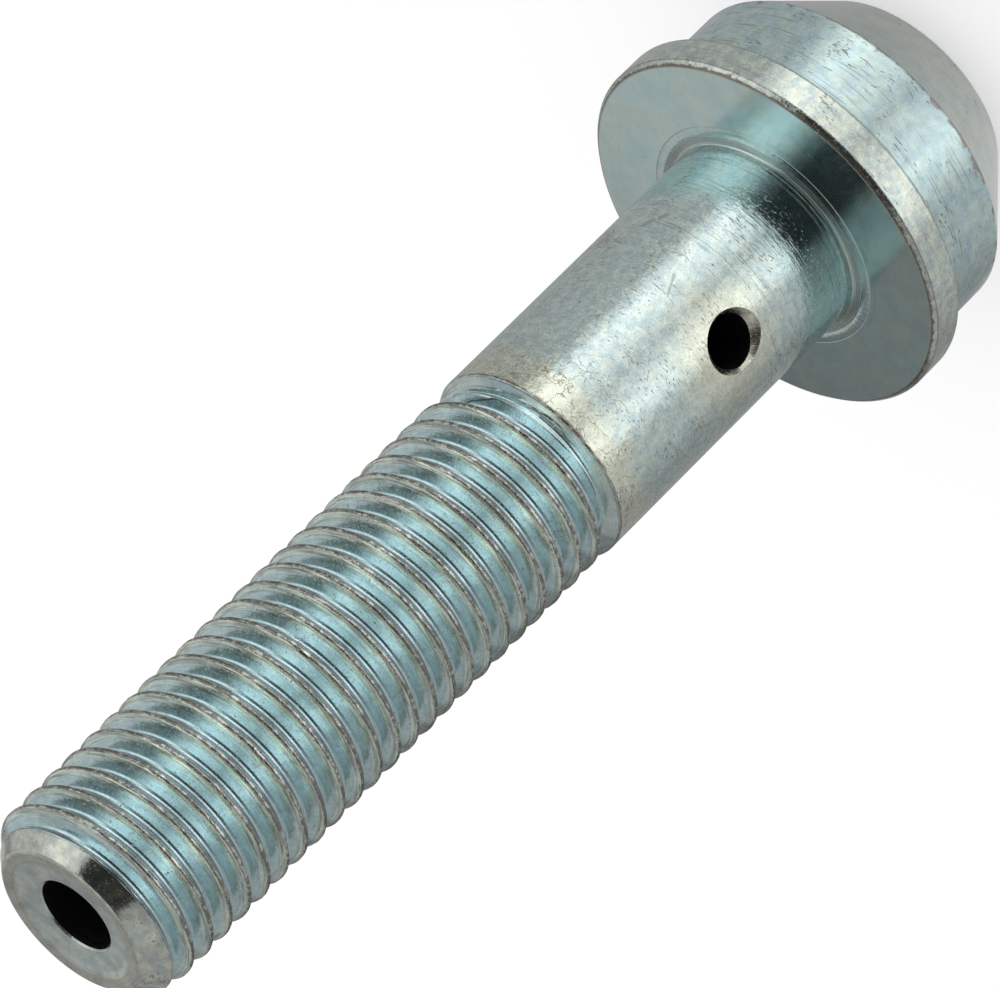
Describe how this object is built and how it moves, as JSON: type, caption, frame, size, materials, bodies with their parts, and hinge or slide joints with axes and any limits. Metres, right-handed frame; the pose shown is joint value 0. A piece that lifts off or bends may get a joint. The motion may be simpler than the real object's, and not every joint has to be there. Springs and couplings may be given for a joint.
{
  "type": "banjo bolt",
  "caption": "Long hollow bolt with a round flanged head, blind axial bore, cross hole under the head and fine thread, for a banjo fitting.",
  "frame": {"origin": "centre of the head's flat top, on which the bolt stands", "axes": "+Z along the bolt's axis from the head towards the threaded end, -Y out of the cross hole"},
  "size_m": [0.023, 0.023, 0.0697],
  "materials": {
    "zinc_plate": "pale blue passivated zinc plate on steel, satin and slightly mottled, worn grey along the edges"
  },
  "bodies": {
    "root": {"banjo_bolt": "zinc_plate"}
  },
  "joints": []
}
